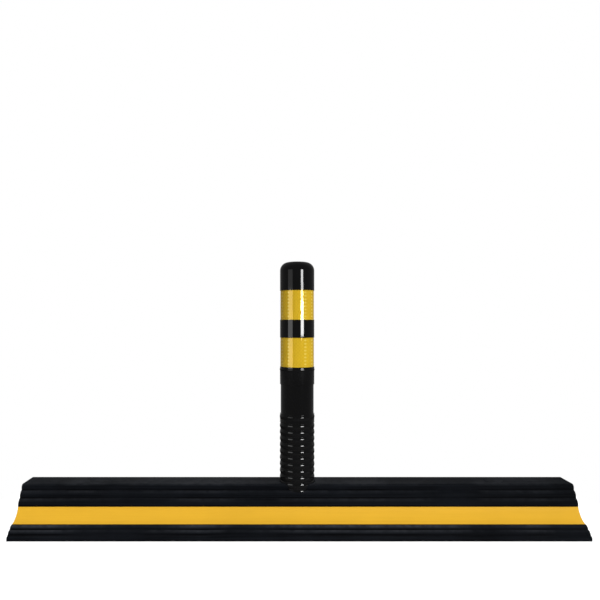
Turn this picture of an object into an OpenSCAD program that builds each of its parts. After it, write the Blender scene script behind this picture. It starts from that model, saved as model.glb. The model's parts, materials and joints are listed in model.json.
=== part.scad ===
// Flexible lane divider: a rubber road strip with a ribbed marker post that springs back.
// X runs along the strip, Y across it and Z up. The origin is under the post, on the road.

/* [Strip] */
// Length of the strip along the road
strip_length = 1000; // [900:10:1300]
// Width of the strip across the road
strip_width = 180; // [172:1:220]
// Height of the strip
strip_height = 80; // [74:1:100]
// Height of the upright face at the foot
foot_height = 7.5; // [5:0.5:8.5]
// Rounding of the foot's upper edge
foot_round = 3; // [1:0.5:4]
// Width of the tread between the foot's edge and the first groove
foot_tread = 5.4; // [4.5:0.1:8]
// Rise of that tread
foot_rise = 1.8; // [1:0.1:3]
// Distance in from the foot to the stripe's lower lip
low_lip_run = 21; // [18:0.5:24]
// Height of the stripe's lower lip
low_lip_height = 21.5; // [19:0.5:25]
// Distance in from the foot to the stripe's upper lip
high_lip_run = 46.7; // [43:0.1:50]
// Height of the stripe's upper lip
high_lip_height = 45.5; // [42:0.5:50]
// Radius of the hollow between the lips
cove_radius = 34.5; // [28:0.5:60]
// Distance in from the foot to the ridge's side
ridge_run = 62; // [56:0.5:66]
// Height of the ridge's side above the highest bead
ridge_rise = 10; // [9.5:0.5:14]
// Rounding of the ridge's upper edges
ridge_round = 6; // [3:0.5:9]
// Number of rounded beads below the stripe
lower_beads = 2; // [1:1:3]
// Number of rounded beads above the stripe
upper_beads = 2; // [1:1:3]
// How far each bead below the stripe swells out
lower_swell = 1.8; // [0.8:0.1:2.2]
// How far each bead above the stripe swells out
upper_swell = 2.6; // [0.8:0.1:3]

/* [Stripe] */
// Thickness of the yellow stripe
stripe_thickness = 2; // [1:0.1:3]
// Rubber left between the stripe and each lip
stripe_margin = 0.8; // [0.4:0.1:3]
// Glue line behind the stripe
stripe_gap = 0.1; // [0.05:0.05:0.3]

/* [Underside] */
// Rubber left between the outer shape and the cored pockets
core_wall = 12; // [9:0.5:16]
// Rubber left above the pockets
core_roof = 14; // [10:0.5:20]
// Web along the middle between the two rows of pockets
core_web = 20; // [14:1:30]
// Web between one pocket and the next
cell_web = 14; // [8:1:20]
// Longest pocket
cell_length_max = 92; // [60:1:98]
// Solid rubber at each end of the strip
end_wall = 20; // [12:1:40]

/* [Anchors] */
// Distance between the two road-anchor holes
anchor_spacing = 730; // [500:5:800]
// Hole through each anchor sleeve
anchor_hole_d = 14; // [11:0.5:18]
// Wall of the sleeve
sleeve_wall = 3; // [2:0.5:4]
// Thickness of the sleeve's flange
sleeve_flange = 3; // [2:0.5:5]
// Recess for the anchor's head
head_recess_d = 32; // [30:0.5:36]
// Depth of that recess above the sleeve's flange
head_recess_depth = 30; // [15:1:40]
// Length of the solid rubber block round each anchor
anchor_block = 54; // [46:1:70]
// Clearance round the sleeve
sleeve_gap = 0.1; // [0.05:0.05:0.3]
// Thickness of the push-in cap that closes each recess
anchor_cap_thickness = 6; // [4:0.5:8]
// Width of the ledge that the cap lies on
anchor_cap_ledge = 2; // [1:0.5:3]
// Depth of the spigot that holds the cap in the recess
anchor_cap_spigot = 5; // [3:0.5:6]
// Wall of that spigot
anchor_cap_wall = 2.5; // [1.5:0.5:4]
// Clearance round the cap
anchor_cap_gap = 0.2; // [0.1:0.05:0.4]

/* [Post] */
// Outside diameter of the post
post_d = 63; // [58:0.5:64]
// Wall of the post
post_wall = 4; // [3:0.1:6]
// Plain collar between the ribs and the lowest recess
collar_height = 16; // [8:0.5:30]
// Height of each band recess
band_height = 54; // [30:0.5:80]
// Ring between one recess and the next
ring_height = 32.5; // [10:0.5:60]
// Plain top above the highest recess
cap_height = 54; // [30:0.5:90]
// Rounding of the top's edge
dome_round = 16; // [8:0.5:24]
// Radius of the shallow crown on the top
crown_radius = 120; // [80:5:300]
// Depth of the recesses
recess_depth = 0.7; // [0.5:0.1:1.5]
// Height of the rounded rim below each of the two lower recesses
rim_height = 4.4; // [2:0.2:8]
// How far each rim swells out
rim_swell = 0.5; // [0.2:0.1:1]
// Distance from a recess down to the middle of its rim
rim_drop = 4.9; // [2:0.1:6]
// Thickness of the reflective bands
band_thickness = 0.4; // [0.2:0.05:0.5]
// Glue line behind the bands
band_gap = 0.05; // [0.02:0.01:0.1]

/* [Ribs] */
// Distance from one rib to the next
rib_pitch = 11.8; // [10:0.1:14]
// Diameter over the ribs
rib_d = 64.4; // [63:0.1:66]
// Diameter in the grooves between the ribs
groove_d = 62; // [58:0.1:62.5]
// Radius of the swell of each rib
rib_round = 13; // [4:0.1:20]
// Height of the lowest groove above the strip
flex_lift = 3; // [2:0.5:10]

/* [Post fixing] */
// Clearance round the ribs in the strip's hole
socket_gap = 0.5; // [0.3:0.1:1]
// Diameter of the flange at the post's lower end
flange_d = 100; // [80:1:104]
// Thickness of that flange
flange_thickness = 8; // [5:0.5:11]
// Clearance round the flange
flange_gap = 0.5; // [0.3:0.1:1]
// Length of the clamp plate along the strip
plate_length = 120; // [116:1:140]
// Width of the clamp plate across the strip
plate_width = 112; // [108:1:118]
// Thickness of the clamp plate
plate_thickness = 4; // [3:0.5:6]
// How far the plate lies above the road
plate_recess = 0.6; // [0.3:0.1:1.5]
// Clearance round the plate
plate_gap = 1; // [0.5:0.1:2]
// Rubber between the plate's pocket and the first cored pocket
plate_wall = 14; // [8:1:30]
// Thread diameter of the clamp screws
screw_d = 6; // [5:0.5:6]
// Length of the clamp screws
screw_length = 18; // [14:1:22]
// Head diameter of the clamp screws
screw_head_d = 12; // [10:0.5:13]
// Height of the countersunk head
screw_head_height = 3; // [2:0.1:3]
// Distance of the screws from the plate's edges
screw_inset = 10; // [8:0.5:12]
// Clearance round the screws
screw_gap = 0.1; // [0.05:0.05:0.3]
// Outside diameter of the threaded inserts
insert_d = 9; // [8:0.5:11]
// Length of the threaded inserts
insert_length = 14; // [10:0.5:20]

/* [Hidden] */
$fn = 96;
// A cut runs this far past the face that it opens
past = 1;
// Across-flats size of a screw's hexagon socket, for each millimetre of thread
hex_ratio = 0.6;
// Share of a screw head's height that the socket takes
socket_ratio = 0.7;
// Flat steps that each rounded stretch of the strip's outline is made of
arc_steps = 8;
// Swell of a quarter circle, for each millimetre of its radius
quarter_swell = 1 - 1 / sqrt(2);
rib_count = 9;
buried_ribs = 2;
recess_count = 3;

rubber_black = [0.06, 0.06, 0.065];
post_black = [0.03, 0.03, 0.035];
stripe_yellow = [0.95, 0.70, 0.10];
band_gold = [0.90, 0.72, 0.15];
steel_grey = [0.62, 0.63, 0.65];
brass_gold = [0.72, 0.58, 0.28];

half_length = strip_length / 2;
half_width = strip_width / 2;

// Points on the strip's right side, as [distance from the middle, height]
foot_groove = [half_width - foot_tread, foot_height + foot_rise];
low_lip = [half_width - low_lip_run, low_lip_height];
high_lip = [half_width - high_lip_run, high_lip_height];
ridge_side = [half_width - ridge_run, strip_height - ridge_rise];
ridge_edge = [half_width - ridge_run, strip_height - ridge_round];
ridge_top = [half_width - ridge_run - ridge_round, strip_height];

// The cove is an arc through both lips, with its centre out in the open
cove_chord = norm(high_lip - low_lip);
cove_along = (high_lip - low_lip) / cove_chord;
cove_outward = [cove_along[1], -cove_along[0]];
cove_centre = (low_lip + high_lip) / 2 + cove_outward * sqrt(pow(cove_radius, 2) - pow(cove_chord / 2, 2));
cove_half_angle = asin(cove_chord / 2 / cove_radius);
cove_mid_angle = atan2(-cove_outward[1], -cove_outward[0]);
stripe_half_angle = cove_half_angle - stripe_margin / cove_radius * 180 / PI;
sector_reach = 2 * cove_radius;

post_r = post_d / 2;
bore_r = groove_d / 2 - post_wall;
recess_r = post_r - recess_depth;
rim_radius = (pow(rim_height / 2, 2) + pow(rim_swell, 2)) / (2 * rim_swell);
socket_r = rib_d / 2 + socket_gap;
flex_bottom = strip_height + flex_lift;
flex_top = flex_bottom + rib_count * rib_pitch;
band_pitch = band_height + ring_height;
lowest_recess = flex_top + collar_height;
post_top = lowest_recess + recess_count * band_pitch - ring_height + cap_height;

plate_top = plate_recess + plate_thickness;
flange_top = plate_top + flange_thickness;
plug_top = flex_bottom - buried_ribs * rib_pitch;
screw_x = plate_length / 2 - screw_inset;
screw_y = plate_width / 2 - screw_inset;

anchor_x = anchor_spacing / 2;
sleeve_d = anchor_hole_d + 2 * sleeve_wall;
sleeve_seat = strip_height - head_recess_depth - sleeve_flange;
head_recess_r = head_recess_d / 2;
anchor_cap_seat = strip_height - anchor_cap_thickness;

first_pocket = plate_length / 2 + plate_gap + plate_wall;

// Points on an arc from a to b that swells out past the straight line, without b itself
function arc(a, b, swell) =
    let (
        half = norm(b - a) / 2,
        along = (b - a) / (2 * half),
        inward = [-along[1], along[0]],
        radius = (pow(half, 2) + pow(swell, 2)) / (2 * swell),
        centre = (a + b) / 2 + inward * (radius - swell),
        reach = asin(half / radius)
    )
    [for (i = [0 : arc_steps - 1])
        let (turn = reach * (2 * i / arc_steps - 1))
        centre + radius * (along * sin(turn) - inward * cos(turn))];

// Equal beads in a row from a to b, without b itself
function bead_row(a, b, count, swell) = [
    for (i = [0 : count - 1])
        each arc(a + (b - a) * i / count, a + (b - a) * (i + 1) / count, swell)
];

// Lays a profile drawn as [across, up] along the strip, centred on its length
module along_strip(length) {
    rotate([90, 0, 90]) linear_extrude(length, center = true) children();
}

// Puts its children at both anchors
module at_anchors() {
    for (side = [-1, 1])
        translate([side * anchor_x, 0, 0]) children();
}

// Puts its children at the four clamp screws
module at_screws() {
    for (sx = [-1, 1], sy = [-1, 1])
        translate([sx * screw_x, sy * screw_y, 0]) children();
}

// Ring between two radii and two heights
module ring(inner_r, outer_r, bottom, top) {
    rotate_extrude() translate([inner_r, bottom]) square([outer_r - inner_r, top - bottom]);
}

// Wedge from the cove's centre, as wide as the stripe
module stripe_sector(half_angle) {
    translate(cove_centre) rotate(cove_mid_angle) polygon([
        [0, 0],
        sector_reach * [cos(half_angle), -sin(half_angle)],
        sector_reach * [cos(half_angle), sin(half_angle)]
    ]);
}

// Draws its children on the right side and, mirrored, on the left
module both_sides() {
    children();
    mirror([1, 0]) children();
}

// Hollow seat for the right-hand stripe
module stripe_seat() {
    intersection() {
        translate(cove_centre) circle(r = cove_radius + stripe_thickness + stripe_gap);
        stripe_sector(stripe_half_angle);
    }
}

// Outline of the strip, the same all along its length
module strip_profile() {
    foot_edge = [half_width, foot_height - foot_round];
    foot_tread_edge = [half_width - foot_round, foot_height];
    side = concat(
        [[half_width, 0]],
        arc(foot_edge, foot_tread_edge, foot_round * quarter_swell),
        [foot_tread_edge],
        bead_row(foot_groove, low_lip, lower_beads, lower_swell),
        [low_lip],
        bead_row(high_lip, ridge_side, upper_beads, upper_swell),
        [ridge_side],
        arc(ridge_edge, ridge_top, ridge_round * quarter_swell),
        [ridge_top]
    );
    other_side = [for (i = [len(side) - 1 : -1 : 0]) [-side[i][0], side[i][1]]];
    difference() {
        polygon(concat(side, other_side));
        both_sides() stripe_seat();
    }
}

// Cross-section of a cored pocket on the right side
module pocket_profile() {
    polygon([
        [core_web / 2, -past],
        [low_lip[0] - core_wall, -past],
        low_lip - [core_wall, core_wall],
        high_lip - [core_wall, core_wall],
        [max(ridge_side[0] - core_wall, core_web / 2 + past), strip_height - core_roof],
        [core_web / 2, strip_height - core_roof]
    ]);
}

// Row of equal pockets on the right side, from one place along the strip to another
module pocket_row(from, to) {
    count = ceil((to - from + cell_web) / (cell_length_max + cell_web));
    pitch = (to - from + cell_web) / count;
    for (i = [0 : count - 1])
        translate([from + i * pitch + (pitch - cell_web) / 2, 0, 0])
            along_strip(pitch - cell_web) pocket_profile();
}

// Pockets on both sides of each anchor, under both halves of the strip
module cored_pockets() {
    for (end = [0, 1], side = [0, 1])
        mirror([end, 0, 0]) mirror([0, side, 0]) {
            pocket_row(first_pocket, anchor_x - anchor_block / 2);
            pocket_row(anchor_x + anchor_block / 2, half_length - end_wall);
        }
}

// Hole for the post, wide at the bottom for its flange
module post_socket() {
    flange_r = flange_d / 2 + flange_gap;
    rotate_extrude() polygon([
        [0, -past], [flange_r, -past], [flange_r, flange_top],
        [socket_r, flange_top], [socket_r, strip_height + past], [0, strip_height + past]
    ]);
}

// Recess for the clamp plate
module plate_pocket() {
    pocket_size = [plate_length + 2 * plate_gap, plate_width + 2 * plate_gap, plate_top + past];
    translate([-pocket_size[0] / 2, -pocket_size[1] / 2, -past]) cube(pocket_size);
}

// Blind hole for a threaded insert, with room for the screw's tip
module insert_hole() {
    insert_top = plate_top + insert_length;
    tip_top = max(plate_recess + screw_length, insert_top) + past;
    tip_r = screw_d / 2 + screw_gap;
    rotate_extrude() polygon([
        [0, 0], [insert_d / 2, 0], [insert_d / 2, insert_top],
        [tip_r, insert_top], [tip_r, tip_top], [0, tip_top]
    ]);
}

// Hole for an anchor sleeve, wider above for the anchor's head and widest for the cap
module anchor_hole() {
    sleeve_r = sleeve_d / 2 + sleeve_gap;
    ledge_r = head_recess_r + anchor_cap_ledge;
    rotate_extrude() polygon([
        [0, -past], [sleeve_r, -past], [sleeve_r, sleeve_seat],
        [head_recess_r, sleeve_seat], [head_recess_r, anchor_cap_seat],
        [ledge_r, anchor_cap_seat], [ledge_r, strip_height + past], [0, strip_height + past]
    ]);
}

module base_strip() {
    color(rubber_black) difference() {
        along_strip(strip_length) strip_profile();
        cored_pockets();
        post_socket();
        plate_pocket();
        at_screws() insert_hole();
        at_anchors() anchor_hole();
    }
}

// Yellow strip that lines the right-hand cove
module stripe() {
    color(stripe_yellow) along_strip(strip_length) intersection() {
        translate(cove_centre) difference() {
            circle(r = cove_radius + stripe_thickness);
            circle(r = cove_radius);
        }
        stripe_sector(stripe_half_angle - stripe_gap / cove_radius * 180 / PI);
    }
}

module front_stripe() {
    mirror([0, 1, 0]) stripe();
}

module rear_stripe() {
    stripe();
}

module anchor_sleeves() {
    color(steel_grey) at_anchors() difference() {
        union() {
            cylinder(d = sleeve_d, h = sleeve_seat + sleeve_flange);
            translate([0, 0, sleeve_seat])
                cylinder(r = head_recess_r - sleeve_gap, h = sleeve_flange);
        }
        translate([0, 0, -past]) cylinder(d = anchor_hole_d, h = strip_height);
    }
}

module anchor_caps() {
    cap_r = head_recess_r + anchor_cap_ledge - anchor_cap_gap;
    spigot_r = head_recess_r - anchor_cap_gap;
    color(rubber_black) at_anchors() {
        translate([0, 0, anchor_cap_seat]) cylinder(r = cap_r, h = anchor_cap_thickness);
        ring(spigot_r - anchor_cap_wall, spigot_r, anchor_cap_seat - anchor_cap_spigot, strip_height);
    }
}

// Countersunk cone, wider by a gap on all sides
module countersink(gap) {
    cylinder(d1 = screw_head_d + 2 * gap, d2 = screw_d + 2 * gap, h = screw_head_height);
}

module clamp_plate() {
    color(steel_grey) difference() {
        translate([-plate_length / 2, -plate_width / 2, plate_recess])
            cube([plate_length, plate_width, plate_thickness]);
        at_screws() translate([0, 0, plate_recess]) countersink(screw_gap);
        at_screws() cylinder(d = screw_d + 2 * screw_gap, h = plate_top + past);
    }
}

module clamp_screws() {
    color(steel_grey) at_screws() translate([0, 0, plate_recess]) difference() {
        union() {
            countersink(0);
            cylinder(d = screw_d, h = screw_length);
        }
        translate([0, 0, -past])
            cylinder(d = screw_d * hex_ratio * 2 / sqrt(3), h = past + socket_ratio * screw_head_height, $fn = 6);
    }
}

module screw_inserts() {
    color(brass_gold) at_screws()
        ring(screw_d / 2 + screw_gap, insert_d / 2, plate_top, plate_top + insert_length);
}

// Half section of a ribbed tube, with ribs centred between equal grooves
module ribbed_section(bottom, count) {
    translate([bore_r, bottom]) square([groove_d / 2 - bore_r, count * rib_pitch]);
    for (i = [0 : count - 1])
        translate([0, bottom + i * rib_pitch]) intersection() {
            translate([rib_d / 2 - rib_round, rib_pitch / 2]) circle(r = rib_round);
            translate([bore_r, 0]) square([rib_d / 2, rib_pitch]);
        }
}

module post_root() {
    color(post_black) rotate_extrude() union() {
        translate([bore_r, plate_top]) square([flange_d / 2 - bore_r, flange_thickness]);
        translate([bore_r, plate_top]) square([rib_d / 2 - bore_r, plug_top - plate_top]);
        ribbed_section(plug_top, buried_ribs);
    }
}

// One rib of the flexible section, counted from the strip up
module flex_rib(number) {
    color(post_black) rotate_extrude() union()
        ribbed_section(flex_bottom + (number - 1) * rib_pitch, 1);
}

// Half section of a domed post, closed at the top
module domed_section(radius, bottom, top, rounding) {
    translate([0, bottom]) square([radius, top - rounding - bottom]);
    intersection() {
        union() {
            translate([0, top - rounding]) square([radius - rounding, rounding]);
            translate([radius - rounding, top - rounding]) circle(r = rounding);
        }
        translate([0, top - rounding]) square([radius, rounding]);
        translate([0, top - crown_radius]) circle(r = crown_radius);
    }
}

// Half section of a slim rounded rim on the post
module rim_section(middle) {
    intersection() {
        translate([post_r + rim_swell - rim_radius, middle]) circle(r = rim_radius);
        translate([bore_r, middle - rim_height / 2]) square([post_d, rim_height]);
    }
}

module post_shaft() {
    color(post_black) rotate_extrude() difference() {
        union() {
            domed_section(post_r, flex_top, post_top, dome_round);
            for (i = [0 : recess_count - 2])
                rim_section(lowest_recess + i * band_pitch - rim_drop);
        }
        domed_section(bore_r, flex_top - past, post_top - post_wall, dome_round - post_wall);
        for (i = [0 : recess_count - 1])
            translate([recess_r, lowest_recess + i * band_pitch]) square([post_d, band_height]);
    }
}

// Reflective sleeve in a recess, counted from the lowest one
module band(number) {
    bottom = lowest_recess + number * band_pitch;
    color(band_gold) ring(recess_r + band_gap, recess_r + band_gap + band_thickness,
        bottom + band_gap, bottom + band_height - band_gap);
}

module upper_band() {
    band(recess_count - 1);
}

module lower_band() {
    band(recess_count - 2);
}

base_strip();
front_stripe();
rear_stripe();
anchor_sleeves();
anchor_caps();
clamp_plate();
clamp_screws();
screw_inserts();
post_root();
for (number = [1 : rib_count])
    flex_rib(number);
post_shaft();
upper_band();
lower_band();
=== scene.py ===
"""Flexible lane divider: a rubber road strip with yellow side stripes and a ribbed marker post."""
import json
import math

import bmesh
import bpy
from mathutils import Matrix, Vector


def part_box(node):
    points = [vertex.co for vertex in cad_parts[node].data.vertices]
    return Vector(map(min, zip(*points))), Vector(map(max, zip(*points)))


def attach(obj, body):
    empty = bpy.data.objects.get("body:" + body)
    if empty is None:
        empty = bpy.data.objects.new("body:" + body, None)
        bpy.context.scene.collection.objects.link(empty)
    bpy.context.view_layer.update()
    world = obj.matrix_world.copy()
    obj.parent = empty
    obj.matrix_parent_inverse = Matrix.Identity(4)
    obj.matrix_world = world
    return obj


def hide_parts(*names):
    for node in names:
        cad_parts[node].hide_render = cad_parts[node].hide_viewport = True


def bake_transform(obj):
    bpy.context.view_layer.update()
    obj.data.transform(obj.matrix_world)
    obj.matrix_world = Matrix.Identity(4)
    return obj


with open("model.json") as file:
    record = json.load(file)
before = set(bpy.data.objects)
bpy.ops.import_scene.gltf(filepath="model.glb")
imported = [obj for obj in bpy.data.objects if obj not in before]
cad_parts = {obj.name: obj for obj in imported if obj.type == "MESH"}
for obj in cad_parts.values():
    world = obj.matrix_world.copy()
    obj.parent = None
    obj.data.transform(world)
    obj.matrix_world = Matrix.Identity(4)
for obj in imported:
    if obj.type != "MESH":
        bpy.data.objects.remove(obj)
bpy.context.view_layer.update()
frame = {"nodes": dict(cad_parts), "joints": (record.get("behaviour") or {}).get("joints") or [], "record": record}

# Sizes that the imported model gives, in metres
MM_PER_METRE = 1000
HALF_LENGTH, HALF_WIDTH, STRIP_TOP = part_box("base_strip")[1]
root_low, root_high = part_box("post_root")
shaft_low, shaft_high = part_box("post_shaft")
plate_low, plate_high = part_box("clamp_plate")
screws_low, screws_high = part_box("clamp_screws")
caps_low, caps_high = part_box("anchor_caps")
sleeves_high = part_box("anchor_sleeves")[1]
RIB_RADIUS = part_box("flex_rib_1")[1].x
BEND_HEIGHTS = [joint["pos_m"][2] for joint in frame["joints"]]
RIB_PITCH = BEND_HEIGHTS[1] - BEND_HEIGHTS[0]
MOUNTS = {mount["name"]: mount for mount in frame["record"]["mounts"]}
ANCHOR_DIMS = MOUNTS["road_anchors"]["dims"]
ANCHOR_X = ANCHOR_DIMS["spacing_x_mm"] / MM_PER_METRE / 2
ANCHOR_HOLE_RADIUS = ANCHOR_DIMS["hole_r_mm"] / MM_PER_METRE
ANCHOR_PLACES = [(-ANCHOR_X, 0, 0), (ANCHOR_X, 0, 0)]

# Strip's side. A pair is a distance in from the foot and a height.
FOOT_HEIGHT = 0.0075
FOOT_ROUND = 0.003
FOOT_GROOVE = (0.0054, 0.0093)
LOW_LIP = (0.021, 0.0215)
HIGH_LIP = (0.0467, 0.0455)
RIDGE_RUN = 0.062
RIDGE_RISE = 0.010
RIDGE_ROUND = 0.006
BEADS = 2
LOWER_SWELL = 0.0018
UPPER_SWELL = 0.0026
GROOVE_EASE = 0.00035
LIP_EASE = 0.0003

# Cove and stripe
COVE_RADIUS = 0.0345
STRIPE_THICKNESS = 0.002
STRIPE_MARGIN = 0.0008
STRIPE_GAP = 0.0001
STRIPE_EASE = 0.0004

# Holes in the strip. A pair is a radius and a top.
SOCKET_RADIUS = 0.0327
FLANGE_POCKET = (0.0505, 0.0126)
INSERT_HOLE = (0.0045, 0.0186)
SCREW_TIP_HOLE = (0.0031, 0.0196)
SLEEVE_HOLE_RADIUS = 0.0101
HEAD_RECESS_RADIUS = 0.016
PLATE_CLEARANCE = 0.001

# Section of a cored pocket, and the rows of pockets as start, end and number
POCKET_SIDE = [
    (0.010, 0.0), (0.057, 0.0), (0.057, 0.0095), (0.0313, 0.0335), (0.016, 0.066), (0.010, 0.066)
]
POCKET_ROWS = [(0.075, 0.338, 3), (0.392, 0.480, 1)]
POCKET_WEB = 0.014
POCKET_ROUND = 0.0025

# Places along the strip where its long faces are divided, close to the holes
ANCHOR_ROOM = 0.022
DIVIDED_AT = (0.036, 0.060, ANCHOR_X - ANCHOR_ROOM, ANCHOR_X + ANCHOR_ROOM)

# Post
BORE_RADIUS = 0.027
GROOVE_RADIUS = 0.031
RIB_ROUND = 0.013
RIB_FILLET = 0.0001
RECESS_RADIUS = 0.0308
RECESS_HEIGHT = 0.054
RECESS_STARTS = (0.2052, 0.2917, 0.3782)
RECESS_EASE = 0.0002
RIM_DROP = 0.0049
RIM_HEIGHT = 0.0044
RIM_SWELL = 0.0005
POST_WALL = 0.004
DOME_ROUND = 0.016
CROWN_RADIUS = 0.120
FLANGE_THICKNESS = 0.008
FLANGE_EASE = 0.0011
BURIED_RIBS = 2
FILM_GAP = 0.00005
FILM_EASE = 0.0001

# Hardware and caps. The screw's head is a radius and a height.
SLEEVE_RADIUS = 0.010
SLEEVE_FLANGE = 0.003
PLATE_CORNER = 0.004
SCREW_RADIUS = 0.003
SCREW_HEAD = (0.006, 0.003)
SCREW_GAP = 0.0001
HEX_RADIUS = 0.00208
HEX_DEPTH = 0.0021
HARDWARE_EASE = 0.0003
CAP_LEDGE = 0.002
CAP_GAP = 0.0002
CAP_WALL = 0.0025
CAP_EASE = 0.0004
CAP_THICKNESS = 0.006
CAP_SEAT = STRIP_TOP - CAP_THICKNESS

# Fineness of round shapes
TURN_STEPS = 128
ANCHOR_STEPS = 64
SCREW_STEPS = 48
INSERT_STEPS = 32
ARC_STEPS = 12
CAP_RIM_STEPS = 4
CORNER_STEPS = 6
EASE_STEPS = 3
HARDWARE_EASE_STEPS = 2
WEB_CUTS = 6
WEB_LONG_EDGE = 0.002
SHARP_ANGLE = math.radians(34)

# How far a cutter runs past a face that it opens, and how near two points are one
PAST = 0.001
JUST_PAST = 0.00001
MERGE = 0.000001


# Drawing and shaping

def along_line(start, end, share):
    return tuple(Vector(start).lerp(Vector(end), share))


def verts_in(geometry):
    return [g for g in geometry if isinstance(g, bmesh.types.BMVert)]


def whole(bm):
    return bm.verts[:] + bm.edges[:] + bm.faces[:]


def round_off(bm, parts, kind, width, steps):
    """Rounds off some corners or edges of what is drawn."""
    bmesh.ops.bevel(
        bm, geom=parts, affect=kind, offset=width, segments=steps, profile=0.5, material=-1
    )


class Pen:
    """Draws one outline as a chain of edges. A point is (across, up) in the pen's plane."""

    def __init__(self, bm, place, axis):
        self.bm = bm
        self.place = place
        self.axis = axis
        self.chain = []
        self.corners = []

    def move_to(self, point):
        self.chain = [self.bm.verts.new(self.place(*point))]
        return self

    def go_on_to(self, vert, ease):
        """Takes the chain on to a corner, and notes how far to ease it."""
        self.chain.append(vert)
        if ease:
            self.corners.append((vert, ease))
        return self

    def line_to(self, point, ease=0.0):
        vert = bmesh.ops.extrude_vert_indiv(self.bm, verts=[self.chain[-1]])["verts"][0]
        vert.co = self.place(*point)
        return self.go_on_to(vert, ease)

    def arc_round(self, centre, angle, steps=ARC_STEPS, ease=0.0):
        """Turns the pen about a centre, anticlockwise for a positive angle."""
        made = bmesh.ops.spin(
            self.bm, geom=[self.chain[-1]], cent=self.place(*centre), axis=self.axis,
            angle=angle, steps=steps,
        )
        return self.go_on_to(verts_in(made["geom_last"])[0], ease)

    def bead_to(self, start, end, swell, ease=0.0):
        """Runs from start to end on an arc that swells out to the right of the way it goes."""
        chord = Vector(end) - Vector(start)
        half = chord.length / 2
        radius = (half**2 + swell**2) / (2 * swell)
        inward = Vector((-chord.y, chord.x)).normalized()
        centre = (Vector(start) + Vector(end)) / 2 + inward * (radius - swell)
        return self.arc_round(tuple(centre), 2 * math.asin(half / radius), ease=ease)

    def bead_row(self, start, end, swell):
        """Runs from start to end in equal beads, with eased grooves between them."""
        for i in range(BEADS):
            bead_start = along_line(start, end, i / BEADS)
            bead_end = along_line(start, end, (i + 1) / BEADS)
            self.bead_to(bead_start, bead_end, swell, ease=GROOVE_EASE)

    def ease_corners(self):
        for vert, ease in self.corners:
            round_off(self.bm, [vert], "VERTICES", ease, EASE_STEPS)

    def close(self):
        self.bm.edges.new((self.chain[-1], self.chain[0]))


def side_pen(bm, x):
    """Pen for a section across the strip, drawn at one place along it."""
    return Pen(bm, lambda across, up: Vector((x, across, up)), (1, 0, 0))


def turning_pen(bm):
    """Pen for half a section of something turned about the post's axis."""
    return Pen(bm, lambda across, up: Vector((across, 0, up)), (0, -1, 0))


def face_out(bm):
    bmesh.ops.recalc_face_normals(bm, faces=bm.faces[:])


def merge_and_face_out(bm):
    bmesh.ops.remove_doubles(bm, verts=bm.verts[:], dist=MERGE)
    face_out(bm)


def run_along(bm, length):
    """Fills the outline drawn so far and runs it along the strip."""
    face = bmesh.ops.contextual_create(bm, geom=bm.edges[:])["faces"]
    made = bmesh.ops.extrude_face_region(bm, geom=face)["geom"]
    bmesh.ops.translate(bm, verts=verts_in(made), vec=(length, 0, 0))
    face_out(bm)


def turn_round(bm, steps=TURN_STEPS):
    """Turns the outline drawn so far once about the upright axis."""
    bmesh.ops.spin(
        bm, geom=bm.verts[:] + bm.edges[:], cent=(0, 0, 0), axis=(0, 0, 1),
        angle=2 * math.pi, steps=steps, use_merge=True,
    )
    merge_and_face_out(bm)


def block(bm, size, middle):
    """Makes a box of a size, about its middle."""
    bmesh.ops.create_cube(bm, size=1)
    bmesh.ops.scale(bm, verts=bm.verts[:], vec=size)
    bmesh.ops.translate(bm, verts=bm.verts[:], vec=middle)


def copies_at(bm, places):
    """Moves what is drawn to the first place and copies it to the others."""
    source = whole(bm)
    for place in places[1:]:
        made = bmesh.ops.duplicate(bm, geom=source)["geom"]
        bmesh.ops.translate(bm, verts=verts_in(made), vec=place)
    bmesh.ops.translate(bm, verts=verts_in(source), vec=places[0])


def ease_edges(bm, width, steps, least_angle):
    """Rounds every edge that is sharper than an angle in degrees."""
    least = math.radians(least_angle)
    sharp = [e for e in bm.edges if e.is_manifold and e.calc_face_angle(0) > least]
    round_off(bm, sharp, "EDGES", width, steps)


def shade(mesh):
    """Makes faces smooth, up to the angle at which an edge stays sharp."""
    mesh.shade_smooth()
    mesh.set_sharp_from_angle(angle=SHARP_ANGLE)


def finished(bm, name):
    """Makes an object of what is drawn."""
    mesh = bpy.data.meshes.new(name)
    bm.to_mesh(mesh)
    bm.free()
    shade(mesh)
    piece = bpy.data.objects.new(name, mesh)
    bpy.context.scene.collection.objects.link(piece)
    return piece


def cut_away(piece, cutters):
    """Takes the cutters' shapes out of a piece, and removes the cutters."""
    for cutter in cutters:
        modifier = piece.modifiers.new(cutter.name, "BOOLEAN")
        modifier.operation = "DIFFERENCE"
        modifier.solver = "EXACT"
        modifier.object = cutter
    evaluated = piece.evaluated_get(bpy.context.evaluated_depsgraph_get())
    cut = bpy.data.meshes.new_from_object(evaluated)
    piece.modifiers.clear()
    uncut = piece.data
    piece.data = cut
    cut.name = piece.name
    bpy.data.meshes.remove(uncut)
    for cutter in cutters:
        bpy.data.meshes.remove(cutter.data)
    shade(cut)


# Strip and stripes

def from_foot(point):
    """A point given as (distance in from the foot, height), on the rear side."""
    return (HALF_WIDTH - point[0], point[1])


RIDGE_SIDE = (HALF_WIDTH - RIDGE_RUN, STRIP_TOP - RIDGE_RISE)


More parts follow.
